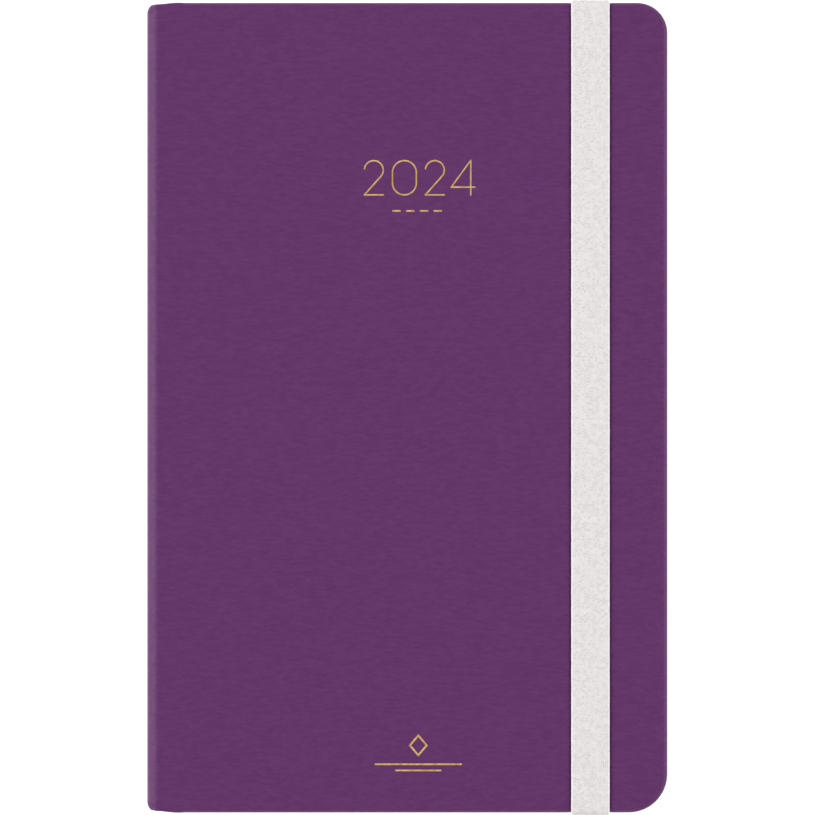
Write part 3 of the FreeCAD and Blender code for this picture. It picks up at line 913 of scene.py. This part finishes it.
# ---- elastic ------------------------------------------------------------------------------
def elastic_path():
    """Centre line in the YZ plane, from the head tab over the front to the tail tab."""
    band_t = BAND_HIGH[1] - HALF_H - BAND_GAP
    tab_t = TAB_HIGH[2] - TAB_LOW[2]
    y_leg = BAND_HIGH[1] - band_t / 2
    z_top = BAND_HIGH[2] - band_t / 2
    z_tab = (TAB_LOW[2] + TAB_HIGH[2]) / 2
    r_top = EDGE_R + BAND_GAP + band_t / 2
    half = []
    for y in np.linspace(TAB_LOW[1], y_leg - FOOT_R, 10):
        half.append((y, z_tab, (0, 1), tab_t))
    for a in np.radians(np.linspace(-90, 0, 7)[1:]):
        grow = (a + math.pi / 2) / (math.pi / 2)
        y = y_leg - FOOT_R + FOOT_R * math.cos(a)
        z = z_tab + FOOT_R + FOOT_R * math.sin(a)
        half.append((y, z, (-math.cos(a), -math.sin(a)), mix(tab_t, band_t, grow)))
    for z in np.linspace(z_tab + FOOT_R, z_top - r_top, 14)[1:]:
        half.append((y_leg, z, (-1, 0), band_t))
    for a in np.radians(np.linspace(0, 90, 10)[1:]):
        y = y_leg - r_top + r_top * math.cos(a)
        z = z_top - r_top + r_top * math.sin(a)
        half.append((y, z, (-math.cos(a), -math.sin(a)), band_t))
    top = [(y, z_top, (0, -1), band_t) for y in np.linspace(y_leg - r_top, 0, 70)[1:]]
    half += top
    other = [(-y, z, (-n[0], n[1]), t) for y, z, n, t in reversed(half[:-1])]
    return half + other


def elastic_section(width):
    """Place across the band, share of its thickness and depth of the groove there."""
    samples = []
    half = width / 2
    steps = int(round(width / WALE)) * POINTS_PER_WALE
    for i in range(steps + 1):
        u = -half + width * i / steps
        outwards = max(0.0, (abs(u) - (half - SELVEDGE)) / SELVEDGE)
        round_off = math.sqrt(max(1 - outwards**2, 0.0))
        rib = RIB * (0.5 - 0.5 * math.cos(2 * math.pi * (u + half) / WALE))
        samples.append((u, mix(SELVEDGE_SHARE, 1.0, round_off), rib))
    return samples


def add_elastic():
    width = BAND_HIGH[0] - BAND_LOW[0]
    x_mid = (BAND_HIGH[0] + BAND_LOW[0]) / 2
    section = elastic_section(width)
    rng = random.Random(3)
    points = []
    across = []
    along = []
    travelled = 0.0
    previous = None
    path = elastic_path()
    for y, z, inward, depth in path:
        if previous:
            travelled += math.hypot(y - previous[0], z - previous[1])
        previous = (y, z)
        sway = rng.uniform(-SWAY, SWAY)
        for side in (1, -1):
            for u, share, rib in section if side > 0 else reversed(section):
                h = side * (depth / 2 * share - rib)
                x = x_mid + u * WOVEN_SHARE + sway
                points.append((x, y - inward[0] * h, z - inward[1] * h))
                across.append(u + width / 2)
                along.append(travelled)
    count = 2 * len(section)
    faces = strip_faces(len(path), count, True)
    faces.append(tuple(reversed(range(count))))
    faces.append(tuple(range(len(points) - count, len(points))))
    piece = mesh_piece("elastic_strip", points, faces, {"across": across, "along": along})
    finish_piece(piece, elastic_cloth, 60)
    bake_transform(piece)
    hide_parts("elastic_band", "elastic_head_tab", "elastic_tail_tab")


# ---- head and tail bands ------------------------------------------------------------------
def end_band(name, node_name, side):
    """Wound bead over the ends of the folds."""
    z0, z1 = extent("signature_01")[0][2], Z_PASTED - BEAD_SHORT
    x_mid = extent(node_name)[1][0] - BEAD_R
    y_mid = side * (PAGE_HALF + BEAD_R + BEAD_GAP)
    points = []
    levels = np.linspace(z0, z1, 150)
    around = 20
    for z in levels:
        end_fade = min((z - z0) / BEAD_END, (z1 - z) / BEAD_END, 1.0)
        wound = WINDING * abs(math.sin(math.pi * z / (STRIPE / 2)))
        radius = (BEAD_R - WINDING + wound) * math.sqrt(max(end_fade, 0.02))
        for k in range(around):
            a = 2 * math.pi * k / around
            points.append((x_mid + radius * math.cos(a), y_mid + radius * math.sin(a), z))
    faces = strip_faces(len(levels), around, True)
    faces.append(tuple(reversed(range(around))))
    faces.append(tuple(range(len(points) - around, len(points))))
    return mesh_piece(name, points, faces)


def add_end_bands():
    for name, node_name, side in (("head_bead", "headband", 1), ("tail_bead", "tailband", -1)):
        piece = end_band(name, node_name, side)
        finish_piece(piece, band_cloth, 50)
        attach(piece, "text_block")
        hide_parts(node_name)


# ---- carried-over CAD nodes ---------------------------------------------------------------
def repaint(names, material):
    """Gives CAD nodes that stay in sight their material."""
    for name in names:
        nodes[name].data.materials.clear()
        nodes[name].data.materials.append(material)


# ---- stage, lights and camera -------------------------------------------------------------
def add_floor():
    """Pale table top under the diary. Left of the spine it lies lower, so that the opened back
    cover and its elastic hang free above it."""
    material, tree, shader = new_material(
        "floor", Roughness=0.9, Base_Color=(0.35, 0.35, 0.35, 1.0), Emission_Strength=0.87
    )
    shader.inputs["Emission Color"].default_value = (1, 1, 1, 1)
    x_step = X_SPINE + SPINE_ROUND + 0.5
    z_low = -(BAND_HIGH[2] + 1.5)  # below the elastic of the opened back cover
    far = 30000.0
    points = [
        (far, -far, 0),
        (far, far, 0),
        (x_step, far, 0),
        (x_step, -far, 0),
        (x_step, far, z_low),
        (x_step, -far, z_low),
        (-far, far, z_low),
        (-far, -far, z_low),
    ]
    faces = [(0, 1, 2, 3), (3, 2, 4, 5), (5, 4, 6, 7)]
    floor = mesh_piece("floor", points, faces)
    floor.data.materials.append(material)


def add_world():
    """Pale studio: bright walls left and right, darker overhead and past head and tail."""
    world = bpy.data.worlds.new("studio")
    bpy.context.scene.world = world
    world.use_nodes = True
    tree = world.node_tree
    background = tree.nodes["Background"]
    direction = node(tree, "ShaderNodeTexCoord").outputs["Generated"]
    parts = node(tree, "ShaderNodeSeparateXYZ", {"Vector": direction}).outputs
    wall = maths(tree, "POWER", maths(tree, "ABSOLUTE", parts["X"]), 2.0)
    walls = colour_ramp(tree, wall, [(0.0, (0.34, 0.34, 0.345)), (1.0, (0.95, 0.95, 0.95))])
    low = node(
        tree, "ShaderNodeMapRange", {"Value": parts["Z"], "From Min": 0.16, "From Max": 0.06}
    ).outputs[0]
    light = blend_colours(tree, low, walls, (1.02, 1.02, 1.02, 1.0))
    tree.links.new(light, background.inputs["Color"])


def area_light(name, place, size, watts):
    data = bpy.data.lights.new(name, "AREA")
    data.shape = "RECTANGLE"
    data.size, data.size_y = size
    data.energy = watts
    light = bpy.data.objects.new(name, data)
    bpy.context.scene.collection.objects.link(light)
    light.location = place
    light.rotation_mode = "QUATERNION"
    light.rotation_quaternion = light.location.to_track_quat("Z", "Y")


def add_lights():
    area_light("key", (-1.15, 0.10, 0.90), (0.8, 0.8), 12.5)
    area_light("fill", (1.15, 0.10, 0.95), (0.8, 0.8), 9.5)


LENS = 200.0
SENSOR = 36.0
FRAME_HEIGHT = 211.2  # what the picture's height covers at the front cover
BOOK_OFFSET = (-0.11, -0.05)  # the diary's centre from the picture's centre


def add_camera():
    data = bpy.data.cameras.new("camera")
    data.lens = LENS
    data.sensor_width = SENSOR
    camera = bpy.data.objects.new("camera", data)
    bpy.context.scene.collection.objects.link(camera)
    height = FRAME_HEIGHT * LENS / SENSOR + THICK
    camera.location = (-BOOK_OFFSET[0] * MM, -BOOK_OFFSET[1] * MM, height * MM)
    data.clip_start, data.clip_end = 0.05, 20.0
    bpy.context.scene.camera = camera


add_covers()
add_endpapers()
add_turning_leaves()
add_signatures()
add_back_flyleaf()
add_elastic()
add_end_bands()
repaint(["foil_year", "foil_dashes", "foil_ornament"], gold_foil)
repaint(["front_board", "back_board", "spine_board"], greyboard)
repaint(["spine_liner"], liner_paper)
repaint(["spine_mull"], mull_cloth)
repaint(["sewing_thread"], linen_thread)
add_floor()
add_world()
add_lights()
add_camera()
bpy.context.scene.view_settings.view_transform = "Standard"
